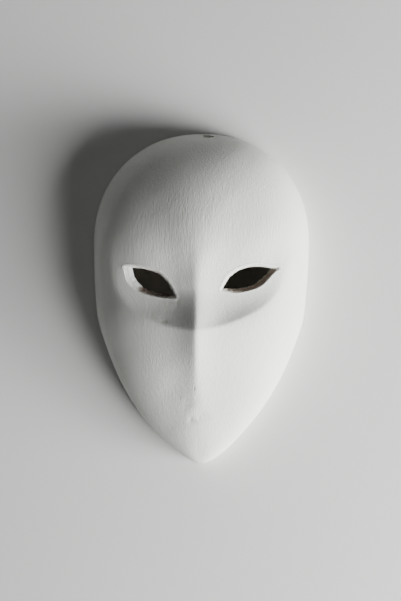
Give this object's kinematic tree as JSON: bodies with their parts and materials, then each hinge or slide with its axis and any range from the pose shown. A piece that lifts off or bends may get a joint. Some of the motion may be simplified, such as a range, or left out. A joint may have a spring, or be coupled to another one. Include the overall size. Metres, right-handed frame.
{
  "type": "full-face papier-mache mask",
  "caption": "Plain white full-face mask of gessoed paper, egg outline, slanted almond eyes, ridge nose and a hanging hole at the crown.",
  "frame": {"origin": "middle of the rim outline's box, on the plane that the rim rests on", "axes": "+Z out of the face, +Y from the chin to the crown, +X to the viewer's right"},
  "size_m": [0.1564, 0.2399, 0.0598],
  "materials": {
    "gesso": "matt brushed gesso, chalky white",
    "pasted_paper": "pasted paper layers, dry and stiff",
    "lining": "torn paper strips pasted over each other",
    "edging": "narrow paper strip, painted over"
  },
  "bodies": {
    "root": {"gesso_coat": "gesso", "face_paper": "pasted_paper", "core_paper": "pasted_paper", "lining_paper": "lining", "rim_edging": "edging", "left_eye_edging": "edging", "right_eye_edging": "edging"}
  },
  "joints": []
}
